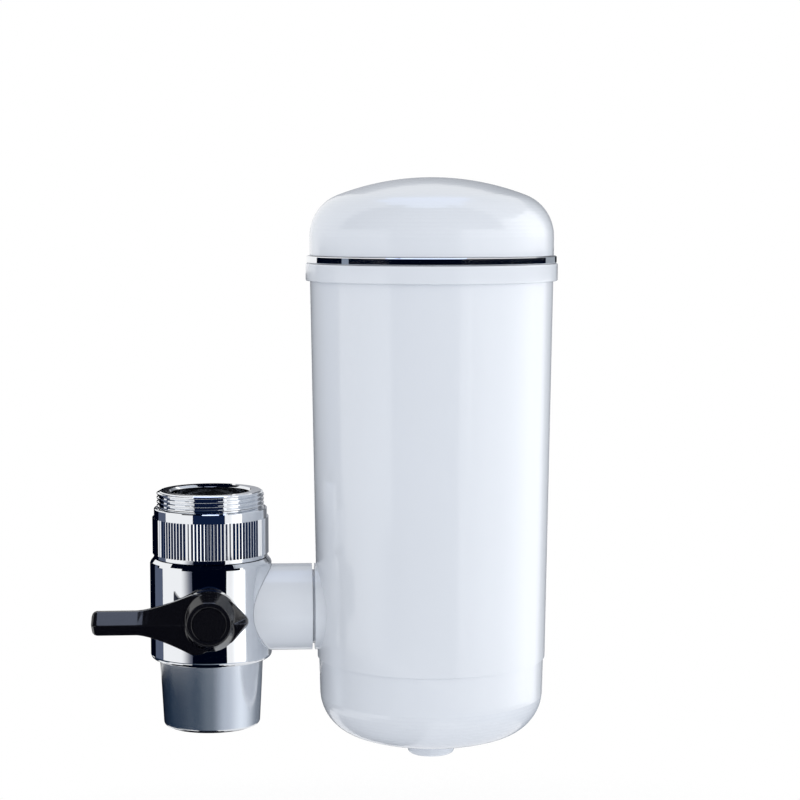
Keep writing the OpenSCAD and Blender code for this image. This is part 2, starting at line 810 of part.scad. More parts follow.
module filter_housing() {
    flange_round = 0.3;
    edge_r = housing_top_d / 2 + flange_proud - flange_round;
    color(white)
        difference() {
            union() {
                at_filter()
                    rotate_extrude($fn = 180)
                        polygon(concat(
                            [[0, seam_z], [housing_foot_d / 2, seam_z], [housing_top_d / 2, flange_foot]],
                            arc(edge_r, flange_foot + flange_round, flange_round, -90, 0, 4),
                            arc(edge_r, housing_top - flange_round, flange_round, 0, 90, 4),
                            [[0, housing_top]]
                        ));
                x_rod(sleeve_d / 2, inlet_face, filter_x - housing_r(valve_z) / 2);
                x_rod(sleeve_d / 2 - inlet_step, sleeve_reach + 0.1, inlet_face + cut);
            }
            at_filter()
                difference() {
                    rotate_extrude($fn = 180)
                        polygon([
                            [0, seam_z - cut], [bore_foot_r, seam_z - cut], [bore_foot_r, seam_z],
                            [mouth_d / 2, mouth_foot], [mouth_d / 2, housing_top - 0.5],
                            [mouth_d / 2 + 0.5, housing_top], [mouth_d / 2 + 0.5, housing_top + cut],
                            [0, housing_top + cut]
                        ]);
                    // Flat land round the inlet, for the clip
                    translate([-filter_x, 0, 0])
                        x_rod(land_r, inlet_face, clip_x - 0.1);
                }
            x_rod(inlet_bore_r, sleeve_reach, filter_x);
            x_rod(clip_r + 0.4, clip_x - 0.1, filter_x);
        }
}

// Profile of the cap's outside, from the seam down to the axis
function cap_outline(inset) =
    let (lower = dome(cap_low_d / 2 - inset, cap_h - inset, shoulder_r - inset, crown_r - inset))
    concat([[cap_d / 2 - inset, 0]], lower);

module bottom_cap() {
    collar_r = bore_foot_r - still_fit;
    collar_wall = 2.2;
    inner_r = cap_d / 2 - dome_wall;
    nozzle_round = 0.8;
    tip_r = nozzle_d / 2 - nozzle_round;
    color(white)
        at_filter()
            difference() {
                union() {
                    translate([0, 0, seam_z - 0.1])
                        mirror([0, 0, 1])
                            rotate_extrude($fn = 180)
                                difference() {
                                    polygon(concat([[0, 0]], cap_outline(0)));
                                    polygon(concat([[0, -cut], [inner_r, -cut]], cap_outline(dome_wall)));
                                }
                    // Collar inside the housing, and the step that joins it to the cap
                    ring(collar_r - collar_wall, collar_r, collar_top, seam_z - 1.5);
                    ring(collar_r - collar_wall, cap_d / 2 - 0.6, seam_z - 0.1, seam_z - 2);
                    // Socket that the cartridge stands on
                    ring(socket_r, socket_r + socket_wall, case_foot, cap_foot + dome_wall - 0.5);
                    // Outlet nozzle
                    rotate_extrude()
                        polygon(concat(
                            [[0, nozzle_foot]],
                            arc(tip_r, nozzle_foot + nozzle_round, nozzle_round, -90, 0, 6),
                            [[nozzle_d / 2, cap_foot + 1], [0, cap_foot + 1]]
                        ));
                }
                z_rod(nozzle_bore_d / 2, nozzle_foot - cut, cap_foot + dome_wall + cut);
            }
}

module cartridge_case() {
    r = case_d / 2;
    bore = case_spigot_d / 2 - 3.1;
    groove_half = case_o_ring_d / 2 + 0.1;
    color("#dfe4ea")
        at_filter()
            difference() {
                union() {
                    z_rod(r, case_foot, case_top);
                    z_rod(case_spigot_d / 2, case_foot - case_spigot_l, case_foot);
                }
                z_rod(r - case_wall, case_foot + case_floor, case_top + cut);
                z_rod(bore, case_foot - case_spigot_l - cut, case_foot + case_floor + cut);
                translate([0, 0, case_o_ring_z])
                    ring(seal_root(socket_r, case_o_ring_d), case_spigot_d, -groove_half, groove_half);
            }
}

// The cartridge's top: a slotted disc with a knob to pull it out by
module cartridge_top() {
    r = case_d / 2;
    color("#3f6fb5")
        at_filter()
            difference() {
                union() {
                    z_rod(r, case_top, case_top + case_top_t);
                    z_rod(knob_r, case_top, case_top + case_top_t + knob_h);
                }
                for (i = [0:inlet_slots - 1])
                    rotate(i * 360 / inlet_slots)
                        translate([knob_r + 3, -1, case_top - cut])
                            cube([r - knob_r - 6, 2, case_top_t + 2 * cut]);
            }
}

module carbon_block() {
    color(carbon)
        at_filter()
            z_rod(case_d / 2 - case_wall - still_fit, media_foot, media_top);
}

module fleece_discs() {
    r = case_d / 2 - case_wall - still_fit;
    color(fleece)
        at_filter() {
            z_rod(r, case_foot + case_floor, media_foot);
            z_rod(r, media_top, case_top);
        }
}

module cartridge_o_ring() {
    color(rubber)
        at_filter()
            translate([0, 0, case_o_ring_z])
                o_ring(seal_r(socket_r, case_o_ring_d), case_o_ring_d);
}

module trim_ring() {
    edge_r = trim_d / 2;
    bevel = 0.2;
    color(chrome)
        at_filter()
            rotate_extrude($fn = 180)
                polygon([
                    [mouth_d / 2 + 0.1, trim_foot], [edge_r - bevel, trim_foot], [edge_r, trim_foot + bevel],
                    [edge_r, trim_top - bevel], [edge_r - bevel, trim_top], [mouth_d / 2 + 0.1, trim_top]
                ]);
}

module filter_lid() {
    groove_r = seal_root(mouth_d / 2, lid_o_ring_d);
    groove_half = lid_o_ring_d / 2 + 0.1;
    groove_foot = lid_groove_z - groove_half;
    crest_top = groove_foot - 1;
    crests = floor((crest_top - skirt_foot - 0.4) / skirt_pitch);
    inner_r = skirt_r - skirt_wall - 1;
    dome_r = lid_d / 2 - dome_wall;
    inside = dome(dome_r, lid_top - dome_wall, shoulder_r - dome_wall, crown_r - dome_wall);
    cone_top = inside[0][1] - 0.2;
    low_r = skirt_r - skirt_depth;
    // One thread crest: radius, and height in pitches
    crest = [[low_r, -1], [skirt_r, -0.65], [skirt_r, -0.35], [low_r, 0]];
    color(white)
        at_filter()
            rotate_extrude($fn = 180)
                difference() {
                    polygon(concat(
                        [[0, skirt_foot], [low_r - 0.3, skirt_foot], [low_r, skirt_foot + 0.3]],
                        [for (i = [crests - 1:-1:0], p = crest) [p[0], crest_top + (p[1] - i) * skirt_pitch]],
                        [[low_r, groove_foot - 0.8], [skirt_r, groove_foot - 0.5],
                         [skirt_r, groove_foot], [groove_r, groove_foot],
                         [groove_r, groove_foot + 2 * groove_half], [skirt_r, groove_foot + 2 * groove_half],
                         [skirt_r, lid_foot], [lid_d / 2 - 0.3, lid_foot]],
                        arc(lid_d / 2 - 0.3, lid_foot + 0.3, 0.3, -90, 0, 4),
                        dome(lid_d / 2, lid_top, shoulder_r, crown_r)
                    ));
                    polygon(concat(
                        [[0, skirt_foot - cut], [inner_r, skirt_foot - cut],
                         [inner_r, lid_foot + 0.5], [dome_r, cone_top]],
                        inside
                    ));
                }
}

module lid_o_ring() {
    color(rubber)
        at_filter()
            translate([0, 0, lid_groove_z])
                o_ring(seal_r(mouth_d / 2, lid_o_ring_d), lid_o_ring_d, $fn = 180);
}

spout_adapter();
spout_gasket();
coupling_gasket();
coupling_nut();
nut_retaining_ring();
diverter_body();
valve_spool();
outlet_seat_seal();
filter_seat_seal();
stem_o_ring();
valve_bonnet();
lever();
lever_screw();
lever_cap();
aerator_shell();
aerator_gasket();
aerator_insert();
side_nipple();
side_sleeve();
nipple_o_rings();
nipple_clip();
filter_housing();
bottom_cap();
cartridge_case();
cartridge_top();
carbon_block();
fleece_discs();
cartridge_o_ring();
trim_ring();
filter_lid();
lid_o_ring();
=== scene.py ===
# %% [markdown]
# # A water filter that hangs on a kitchen tap
# The part is a chromed diverter valve with a black lever, and a tall white housing that
# holds the cartridge. This first step loads the solids as a fixed frame. They already stand
# where they belong, in metres, with the spout's axis on the world's Z axis, so everything
# that is added later is placed by their boxes and not by eye.

# %% Load the frame
import math
import bpy
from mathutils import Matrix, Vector


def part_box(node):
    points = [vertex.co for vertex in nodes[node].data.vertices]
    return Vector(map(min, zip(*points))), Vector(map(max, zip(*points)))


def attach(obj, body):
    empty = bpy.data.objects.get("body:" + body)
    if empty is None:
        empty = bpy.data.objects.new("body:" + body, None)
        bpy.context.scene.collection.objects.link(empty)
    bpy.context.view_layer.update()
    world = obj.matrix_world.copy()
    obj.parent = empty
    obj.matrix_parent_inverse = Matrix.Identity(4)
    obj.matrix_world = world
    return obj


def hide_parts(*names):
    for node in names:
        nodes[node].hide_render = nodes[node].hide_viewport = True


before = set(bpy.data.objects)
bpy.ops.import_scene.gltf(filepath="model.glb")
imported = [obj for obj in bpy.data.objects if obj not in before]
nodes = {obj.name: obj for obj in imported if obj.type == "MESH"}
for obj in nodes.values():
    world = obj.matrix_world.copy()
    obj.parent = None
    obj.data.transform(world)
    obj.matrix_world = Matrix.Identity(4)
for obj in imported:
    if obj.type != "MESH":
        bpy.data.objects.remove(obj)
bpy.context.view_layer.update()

# %% [markdown]
# ## The sizes that the rest is measured from
# The valve stands on X = 0 and Y = 0. The radii and heights of the threaded adapter and of
# the nut are read from the boxes of their solids, so that a change there carries through.

# %% Measure the frame
MM = 0.001

adapter_low, adapter_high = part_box("spout_adapter")
adapter_r, adapter_foot = adapter_high[0], adapter_low[2]
nut_low, nut_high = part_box("coupling_nut")
nut_r, nut_foot, nut_top = nut_high[0], nut_low[2], nut_high[2]
print("adapter radius", round(adapter_r / MM, 2), "mm, nut radius", round(nut_r / MM, 2), "mm")

# %% [markdown]
# ## The camera
# The picture looks slightly down and slightly to the right, from about half a metre, with a
# long lens, so that the cylinders keep nearly parallel sides. The place was found by fitting
# the widths and heights of the round parts. The angles are in radians, the lens and the
# sensor in millimetres, and the lens is given for a square picture.

# %% Set up the camera
CAMERA_PLACE = (14.94 * MM, -536.39 * MM, 72.42 * MM)
CAMERA_YAW = 0.06492
CAMERA_PITCH = 0.09109
CAMERA_LENS = 92.505
SENSOR_WIDTH = 36
NEAREST = 10 * MM

camera_data = bpy.data.cameras.new("view")
camera_data.lens = CAMERA_LENS
camera_data.sensor_width = SENSOR_WIDTH
camera_data.clip_start = NEAREST
camera = bpy.data.objects.new("view", camera_data)
bpy.context.collection.objects.link(camera)
camera.location = CAMERA_PLACE
camera.rotation_euler = (math.pi / 2 - CAMERA_PITCH, 0, -CAMERA_YAW)
bpy.context.scene.camera = camera
bpy.context.scene.view_settings.view_transform = "Standard"
print("camera", round(Vector(CAMERA_PLACE).length / MM), "mm from the spout")

# %% [markdown]
# ## Writing shader maths as plain expressions
# A shader's sums are nodes, and many small nodes are hard to read. A small class can wrap a
# socket and turn `1 - mask` into the node that does it. Nearly every other node comes from
# one method, which first sets the node and then its sockets.

# %% A shader that is written like a sum
def rgba(colour, shade=1):
    """A colour as a socket takes it, darker where the shade is under 1."""
    return tuple(part * shade for part in colour) + (1,)


class Value:
    """A socket that can stand in a sum."""

    def __init__(self, shader, socket):
        self.shader, self.socket = shader, socket

    def maths(self, operation, *values):
        return self.shader.node("ShaderNodeMath", {"operation": operation}, *values)["Value"]

    def __add__(self, other):
        return self.maths("ADD", self, other)

    def __mul__(self, other):
        return self.maths("MULTIPLY", self, other)

    def __sub__(self, other):
        return self.maths("SUBTRACT", self, other)

    def __rsub__(self, other):
        return self.maths("SUBTRACT", other, self)

    __radd__ = __add__


class Shader:
    """A material or a world, and the one way in which its nodes are made."""

    def __init__(self, name, world=False):
        kind = bpy.data.worlds if world else bpy.data.materials
        self.block = kind.new(name)
        self.block.use_nodes = True
        self.tree = self.block.node_tree
        self.main = self.tree.nodes["Background" if world else "Principled BSDF"]

    def put(self, socket, value):
        if isinstance(value, Value):
            self.tree.links.new(value.socket, socket)
        else:
            socket.default_value = value

    def node(self, kind, settings, *values, **named):
        """Makes a node and gives its outputs by name."""
        made = self.tree.nodes.new(kind)
        for key, value in settings.items():
            setattr(made, key, value)
        for socket, value in zip(made.inputs, values):
            self.put(socket, value)
        for key, value in named.items():
            self.put(made.inputs[key.replace("_", " ")], value)
        return {out.name: Value(self, out) for out in made.outputs if out.enabled}

    def place(self, stretch=(1, 1, 1)):
        """Object coordinates in millimetres, times a stretch for each axis."""
        coordinates = self.node("ShaderNodeTexCoord", {})["Object"]
        factors = tuple(part / MM for part in stretch)
        return self.node("ShaderNodeVectorMath", {"operation": "MULTIPLY"}, coordinates,
                         factors)["Vector"]

    def noise(self, scale, detail, rough=0.5, stretch=(1, 1, 1)):
        """Noise from 0 to 1, with its scale in features to the millimetre."""
        return self.node("ShaderNodeTexNoise", {}, Vector=self.place(stretch), Scale=scale,
                         Detail=detail, Roughness=rough)["Fac"]

    def mix(self, factor, low, high):
        """A colour between two colours."""
        made = self.tree.nodes.new("ShaderNodeMix")
        made.data_type = "RGBA"
        self.put(made.inputs["Factor"], factor)
        for socket, value in zip([s for s in made.inputs if s.type == "RGBA"], (low, high)):
            self.put(socket, value)
        return Value(self, [s for s in made.outputs if s.type == "RGBA"][0])

    def ramp(self, factor, stops, hard):
        """A colour that follows a factor through stops, each a place and a colour."""
        made = self.tree.nodes.new("ShaderNodeValToRGB")
        made.color_ramp.interpolation = "CONSTANT" if hard else "EASE"
        points = made.color_ramp.elements
        for i, (place, colour) in enumerate(stops):
            point = points[i] if i < 2 else points.new(place)
            point.position = place
            point.color = rgba(colour)
        self.put(made.inputs["Fac"], factor)
        return Value(self, made.outputs["Color"])

    def bump(self, height, strength, depth):
        """Feeds a height, as a bump of that depth in millimetres, to the normal."""
        made = self.node("ShaderNodeBump", {}, Strength=strength, Distance=depth * MM,
                         Height=height)
        self.set(Normal=made["Normal"])

    def set(self, **sockets):
        for key, value in sockets.items():
            self.put(self.main.inputs[key.replace("_", " ")], value)

    def surface(self, closure):
        """Gives the material or the world a closure as its output."""
        out = [n for n in self.tree.nodes if n.bl_idname.startswith("ShaderNodeOutput")][0]
        self.put(out.inputs["Surface"], closure)

    def show(self, paths, seen):
        """Rays of these kinds see another closure than the one that gives light."""
        light = self.node("ShaderNodeLightPath", {})
        chosen = light[paths[0]]
        for path in paths[1:]:
            chosen = chosen.maths("MAXIMUM", chosen, light[path])
        plain = Value(self, self.main.outputs[0])
        self.surface(self.node("ShaderNodeMixShader", {}, chosen, plain, seen)["Shader"])


print("shader helper ready")

# %% [markdown]
# ## Chrome plate
# Plated brass is a mirror: almost no colour of its own, and what is seen in it is the room.
# A perfect mirror looks drawn, though, so the roughness wanders a little where fingers and
# water have been, and a very shallow, wide bump bends the reflections as polishing does.

# %% Chrome
CHROME_TONE = (0.86, 0.88, 0.91)


def chrome_finish(name, rough):
    shader = Shader(name)
    smear = shader.noise(scale=0.12, detail=3)
    specks = shader.noise(scale=1.6, detail=2)
    shader.set(Metallic=1.0, Roughness=rough + smear * 0.03 + specks * 0.01)
    shader.set(Base_Color=shader.mix(smear, rgba(CHROME_TONE, 0.95), rgba(CHROME_TONE)))
    shader.bump(shader.noise(scale=0.05, detail=1), strength=0.15, depth=0.02)
    return shader.block


chrome = chrome_finish("chrome_plate", rough=0.015)
satin_chrome = chrome_finish("chrome_shell", rough=0.13)
print("made", chrome.name, satin_chrome.name)

# %% [markdown]
# ## Moulded plastics
# Injection moulded shells are glossy, but the skin is never quite flat: it shrinks over ribs
# and carries a faint peel from the tool. One function makes every plastic, with its colour,
# its gloss and its clear coat.

# %% Plastics
def plastic_finish(name, colour, rough, coat=0.0):
    shader = Shader(name)
    cloud = shader.noise(scale=0.03, detail=2)
    peel = shader.noise(scale=0.35, detail=3)
    shader.set(Base_Color=shader.mix(cloud, rgba(colour, 0.97), rgba(colour)))
    shader.set(Roughness=rough + peel * 0.05, Coat_Weight=coat, Coat_Roughness=0.03)
    shader.bump(peel, strength=0.25, depth=0.01)
    return shader.block


white_plastic = plastic_finish("white_plastic", (0.80, 0.83, 0.88), rough=0.14, coat=0.3)
black_plastic = plastic_finish("black_plastic", (0.004, 0.004, 0.006), rough=0.10, coat=0.3)
acetal = plastic_finish("acetal", (0.78, 0.77, 0.71), rough=0.32)
seat_plastic = plastic_finish("seat_plastic", (0.84, 0.84, 0.80), rough=0.35)
case_plastic = plastic_finish("case_plastic", (0.74, 0.76, 0.80), rough=0.35)
blue_plastic = plastic_finish("blue_plastic", (0.06, 0.14, 0.42), rough=0.3)
print("made six plastics")

# %% [markdown]
# ## Rubber, metals and the filter's filling
# The seals are dull black rubber with a fine grain. Brass and steel are turned or drawn, so
# their roughness is streaked along one direction. The block is pressed from black granules,
# and the fleece from white fibres.

# %% Rubber, brass, steel, carbon and fleece
def rubber_finish():
    shader = Shader("rubber")
    grain = shader.noise(scale=2.5, detail=4)
    shader.set(Base_Color=shader.mix(grain, rgba((0.012, 0.012, 0.013)), rgba((0.03, 0.03, 0.033))))
    shader.set(Roughness=0.55 + grain * 0.15)
    shader.bump(grain, strength=0.4, depth=0.02)
    return shader.block


def turned_finish(name, colour, rough):
    shader = Shader(name)
    lines = shader.noise(scale=1.0, detail=3, stretch=(9.0, 0.6, 0.6))
    shader.set(Metallic=1.0, Base_Color=shader.mix(lines, rgba(colour, 0.82), rgba(colour)))
    shader.set(Roughness=rough + lines * 0.12)
    shader.bump(lines, strength=0.3, depth=0.01)
    return shader.block


def carbon_finish():
    shader = Shader("carbon")
    grains = shader.node("ShaderNodeTexVoronoi", {}, Vector=shader.place(), Scale=1.4)["Distance"]
    shader.set(Base_Color=shader.mix(grains, rgba((0.008, 0.008, 0.009)),
                                     rgba((0.045, 0.045, 0.048))))
    shader.set(Roughness=0.6 + grains * 0.2)
    shader.bump(grains, strength=0.7, depth=0.25)
    return shader.block


def fleece_finish():
    shader = Shader("fleece")
    fibres = shader.noise(scale=1.2, detail=6, rough=0.7, stretch=(0.5, 4.0, 1.0))
    shader.set(Base_Color=shader.mix(fibres, rgba((0.7, 0.7, 0.66)), rgba((0.9, 0.9, 0.87))))
    shader.set(Roughness=0.85 + fibres * 0.1)
    shader.bump(fibres, strength=0.6, depth=0.15)
    return shader.block


rubber = rubber_finish()
brass = turned_finish("brass", (0.74, 0.56, 0.28), rough=0.2)
steel = turned_finish("steel", (0.62, 0.63, 0.65), rough=0.22)
carbon = carbon_finish()
fleece = fleece_finish()
print("made rubber, brass, steel, carbon and fleece")

# %% [markdown]
# ## Every solid gets its finish
# The solids keep their own mesh. Only the material in their slot changes, by piece.

# %% Dress the solids
FINISHES = {
    chrome: ("spout_adapter", "coupling_nut", "diverter_body", "trim_ring"),
    satin_chrome: ("aerator_shell",),
    white_plastic: ("side_sleeve", "filter_housing", "bottom_cap", "filter_lid"),
    black_plastic: ("lever", "lever_cap"),
    acetal: ("valve_spool", "aerator_insert"),
    seat_plastic: ("outlet_seat_seal", "filter_seat_seal"),
    case_plastic: ("cartridge_case",),
    blue_plastic: ("cartridge_top",),
    rubber: ("spout_gasket", "coupling_gasket", "stem_o_ring", "aerator_gasket",
             "nipple_o_rings", "cartridge_o_ring", "lid_o_ring"),
    brass: ("valve_bonnet", "side_nipple"),
    steel: ("nut_retaining_ring", "lever_screw", "nipple_clip"),
    carbon: ("carbon_block",),
    fleece: ("fleece_discs",),
}


def dress(piece, material):
    """Gives a piece one material and no other."""
    piece.data.materials.clear()
    piece.data.materials.append(material)


for material, names in FINISHES.items():
    for name in names:
        dress(nodes[name], material)
print("dressed", sum(map(len, FINISHES.values())), "of", len(nodes), "solids")

# %% [markdown]
# ## Drawing, turning and cutting
# A thread, a rim or a bore starts as half a section. By hand, one would place a single
# vertex and extrude it from point to point, then turn the line round an axis. The helpers
# below do just that: they merge a small plane to one vertex, extrude the chain, and then
# either turn it with a Screw modifier, with a rise for each turn where a thread is wanted,
# or close it and extrude the face upwards.

# %% Helpers to draw, turn and cut
MERGE = 0.002 * MM
WELD = 0.001 * MM
TURN_STEPS = 128


def open_all():
    """Opens the active piece for editing, with all of it selected."""
    bpy.ops.object.mode_set(mode="EDIT")
    bpy.ops.mesh.select_all(action="SELECT")


def close():
    bpy.ops.object.mode_set(mode="OBJECT")


def pick(piece):
    """Selects one object alone and makes it the active one."""
    bpy.ops.object.select_all(action="DESELECT")
    piece.select_set(True)
    bpy.context.view_layer.objects.active = piece


def plane(name, size, place=(0, 0, 0)):
    """A square sheet, which is then the active object."""
    bpy.ops.object.select_all(action="DESELECT")
    bpy.ops.mesh.primitive_plane_add(size=size, location=place)
    bpy.context.object.name = name
    return bpy.context.object


def draw(name, points):
    """An edge chain through points in space, in metres, drawn by extruding a vertex."""
    line = plane(name, MM)
    open_all()
    bpy.ops.mesh.merge(type="CENTER")
    bpy.ops.transform.translate(value=points[0])
    for last, point in zip(points, points[1:]):
        step = [b - a for a, b in zip(last, point)]
        bpy.ops.mesh.extrude_vertices_move(TRANSFORM_OT_translate={"value": step})
    close()
    return line


def apply(piece, kind, **settings):
    """Adds a modifier, sets it and applies it."""
    pick(piece)
    modifier = piece.modifiers.new(kind.title(), kind)
    for key, value in settings.items():
        setattr(modifier, key, value)
    bpy.ops.object.modifier_apply(modifier=modifier.name)


def screw(piece, steps, **settings):
    """Turns an edge chain round the Z axis, with a rise where one is set."""
    apply(piece, "SCREW", axis="Z", steps=steps, render_steps=steps, use_merge_vertices=True,
          merge_threshold=WELD, **settings)


def heal(piece, distance=MERGE):
    """Merges doubles and turns every face outwards."""
    pick(piece)
    open_all()
    bpy.ops.mesh.remove_doubles(threshold=distance)
    bpy.ops.mesh.normals_make_consistent(inside=False)
    close()
    return piece


def turned(name, points):
    """A closed turned solid: the chain of radius and height starts and ends on the Z axis."""
    piece = draw(name, [(r, 0, z) for r, z in points])
    screw(piece, TURN_STEPS)
    return heal(piece)


def raised(name, points, low, high):
    """A flat closed outline in X and Y, filled and extruded upwards."""
    piece = draw(name, [(x, y, low) for x, y in points])
    open_all()
    bpy.ops.mesh.edge_face_add()
    bpy.ops.mesh.extrude_region_move(TRANSFORM_OT_translate={"value": (0, 0, high - low)})
    close()
    return heal(piece)


def cut_away(piece, tool):
    """Takes a tool's shape out of a piece, and clears the tool."""
    apply(piece, "BOOLEAN", operation="DIFFERENCE", object=tool, solver="EXACT")
    bpy.data.objects.remove(tool)


def join_on(piece, other):
    """Makes one solid of two that overlap."""
    apply(piece, "BOOLEAN", operation="UNION", object=other, solver="EXACT")
    bpy.data.objects.remove(other)


def finish_piece(piece, material, body, stands_for, angle=32):
    """Smooth shading by angle, a finish, the body it rides on and the solid it replaces."""
    pick(piece)
    bpy.ops.object.shade_smooth_by_angle(angle=math.radians(angle))
    dress(piece, material)
    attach(piece, body)
    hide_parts(stands_for)
    print(piece.name, len(piece.data.polygons), "faces")


print("modelling helpers ready")

# %% [markdown]
# ## The spout adapter
# The ring screws on to the spout, and carries the nut on its outer thread. The solid has
# plain rings for that thread, which look right from afar. Close up the real helix shows where
# it starts, so the thread is made again here as a true screw: a profile that rises by one
# pitch with each turn, cut flat at both ends. A turned tool then opens the bore.

# %% Adapter with a true thread
PITCH = 1.1 * MM
THREAD_DEPTH = 0.6 * MM
THREAD_TOP = -0.35 * MM
THREAD_STEPS = 96
FLAT = 0.12
RIM_R = adapter_r - 0.65 * MM
RIM_FOOT = -1.13 * MM
SPOUT_R = 10.45 * MM
BORE_R = SPOUT_R - 0.03 * MM
RELIEF_R = SPOUT_R + 0.75 * MM
LEDGE_R = 8.4 * MM
SPOUT_DEPTH = 7.0 * MM
RELIEF_DEPTH = 8.5 * MM


def threaded_rod(name, crest_r, foot, top):
    """A closed rod with a right-hand thread, cut flat at both ends."""
    root_r, flat = crest_r - THREAD_DEPTH, PITCH * FLAT
    rod = draw(name, [(root_r, 0, 0), (root_r, 0, flat), (crest_r, 0, PITCH / 2 - flat),
                      (crest_r, 0, PITCH / 2 + flat), (root_r, 0, PITCH - flat * 0.5),
                      (root_r, 0, PITCH)])
    screw(rod, THREAD_STEPS, screw_offset=PITCH, iterations=math.ceil((top - foot) / PITCH) + 3)
    pick(rod)
    open_all()
    bpy.ops.mesh.remove_doubles(threshold=MERGE)
    bpy.ops.transform.translate(value=(0, 0, foot - 1.5 * PITCH))
    for height, above in ((top, True), (foot, False)):
        bpy.ops.mesh.select_all(action="SELECT")
        bpy.ops.mesh.bisect(plane_co=(0, 0, height), plane_no=(0, 0, 1),
                            clear_outer=above, clear_inner=not above)
    bpy.ops.mesh.select_all(action="SELECT")
    bpy.ops.mesh.remove_doubles(threshold=MERGE)
    bpy.ops.mesh.fill_holes(sides=0)
    close()
    return heal(rod)


adapter = threaded_rod("adapter_threads", adapter_r, adapter_foot, THREAD_TOP)
join_on(adapter, turned("adapter_rim", [
    (0, 0), (RIM_R - 0.25 * MM, 0), (RIM_R, -0.2 * MM), (RIM_R, RIM_FOOT), (0, RIM_FOOT)]))
cut_away(adapter, turned("water_way", [
    (0, 0.5 * MM), (SPOUT_R + 0.6 * MM, 0.5 * MM), (SPOUT_R + 0.1 * MM, -0.5 * MM),
    (BORE_R, -0.63 * MM), (BORE_R, -SPOUT_DEPTH), (RELIEF_R, -SPOUT_DEPTH),
    (RELIEF_R, -RELIEF_DEPTH), (LEDGE_R, -RELIEF_DEPTH), (LEDGE_R, adapter_foot - MM),
    (0, adapter_foot - MM)]))
finish_piece(adapter, chrome, "adapter", "spout_adapter")

# %% [markdown]
# ## The coupling nut
# The ring nut is knurled in two panels, with plain lands between them for a spanner. The
# ribs are what make it look like a nut, so they are drawn as an outline, rib by rib, and
# extruded. The flanks slope gently: each rib then mirrors the dark card on one side and the
# white room on the other. A turned core adds the collar and the foot.

# %% Coupling nut
RIBS = 35
PANEL = math.radians(124)
GROOVE = 0.32 * MM
GROOVE_EDGE = 0.12
LAND_STEPS = 15
EDGE = 0.2 * MM
THREAD_BORE_R = adapter_r + 0.08 * MM
COLLAR_R, FOOT_R, NECK_R = 14.75 * MM, 14.85 * MM, 11.58 * MM
KNURL_TOP, KNURL_FOOT, NUT_SHELF = -6.95 * MM, -16.4 * MM, -14.35 * MM

rib_angle = PANEL / RIBS
groove = ((GROOVE_EDGE, nut_r), (0.5, nut_r - GROOVE), (1 - GROOVE_EDGE, nut_r))
outline = []
for side in (-math.pi / 2, math.pi / 2):
    for rib in range(RIBS):
        start = side - PANEL / 2 + rib * rib_angle
        for share, radius in groove:
            outline.append((radius, start + share * rib_angle))
    for part in range(1, LAND_STEPS):
        outline.append((nut_r, side + PANEL / 2 + part / LAND_STEPS * (math.pi - PANEL)))
outline = [(r * math.cos(a), r * math.sin(a)) for r, a in outline]
print(len(outline), "corners round the nut,", 2 * RIBS, "ribs")

nut = raised("nut_ribs", outline, KNURL_FOOT, KNURL_TOP)
join_on(nut, turned("nut_core", [
    (0, nut_foot), (FOOT_R - EDGE, nut_foot), (FOOT_R, nut_foot + EDGE),
    (FOOT_R, KNURL_FOOT + EDGE), (COLLAR_R, KNURL_FOOT + EDGE), (COLLAR_R, nut_top - EDGE),
    (COLLAR_R - EDGE, nut_top), (0, nut_top)]))
cut_away(nut, turned("nut_bore", [
    (0, nut_top + MM), (THREAD_BORE_R + MM, nut_top + MM), (THREAD_BORE_R, nut_top - EDGE),
    (THREAD_BORE_R, NUT_SHELF), (NECK_R, NUT_SHELF), (NECK_R, nut_foot - MM),
    (0, nut_foot - MM)]))
finish_piece(nut, chrome, "nut", "coupling_nut")

# %% [markdown]
# ## A lever with soft edges
# No moulded edge is a knife edge, and a handle is rounded for the fingers. A bevel would have
# to find its way round the hub's cone and the ridge, where edges of every angle meet. So a
# copy of the solid is remeshed in fine cells instead, its points are relaxed a little towards
# their neighbours, which rounds the edges alone, and the mesh is thinned out again.

# %% Lever with soft edges
CELL = 0.15 * MM
ROUNDS = 7
KEEP = 0.3
LEVER_ANGLE = 50

lever = bpy.data.objects.new("lever_form", nodes["lever"].data.copy())
bpy.context.collection.objects.link(lever)
pick(lever)
bpy.ops.mesh.customdata_custom_splitnormals_clear()
heal(lever, WELD)
apply(lever, "REMESH", mode="VOXEL", voxel_size=CELL)
apply(lever, "SMOOTH", factor=0.5, iterations=ROUNDS)
apply(lever, "DECIMATE", ratio=KEEP)
finish_piece(lever, black_plastic, "lever", "lever", angle=LEVER_ANGLE)

# %% [markdown]
# ## The studio
# The world gives plain soft light, about half as strong from straight above as from the
# sides, so that the lid's dome turns darker towards its top. The camera, and whatever
# mirrors, sees it as plain white. They see the floor as white too, but where the part stands
# over it the floor is open to less of the room, and ambient occlusion turns that into the
# soft shadow under the part.

# %% World and floor
WHITE = (1, 1, 1)
SKY_SIDE = (1.19, 1.21, 1.235)
SKY_TOP = (0.56, 0.58, 0.61)
SEEN = ("Is Camera Ray", "Is Glossy Ray", "Is Transmission Ray")
FLOOR_Z = -0.16
FLOOR_SIZE = 6
FLOOR_TONE = (0.90, 0.91, 0.93)
SHADOW = (0.55, 0.58, 0.64)
SHADOW_REACH = 0.3
SHADOW_DEPTH = 4.0

sky = Shader("studio", world=True)
bpy.context.scene.world = sky.block
upward = sky.node("ShaderNodeSeparateXYZ", {}, sky.node("ShaderNodeTexCoord", {})["Generated"])["Z"]
height = upward.maths("MAXIMUM", upward, 0.0)
sky.set(Color=sky.mix(height, rgba(SKY_SIDE), rgba(SKY_TOP)), Strength=1.0)
sky.show(SEEN, sky.node("ShaderNodeBackground", {}, rgba(WHITE), 1.0)["Background"])

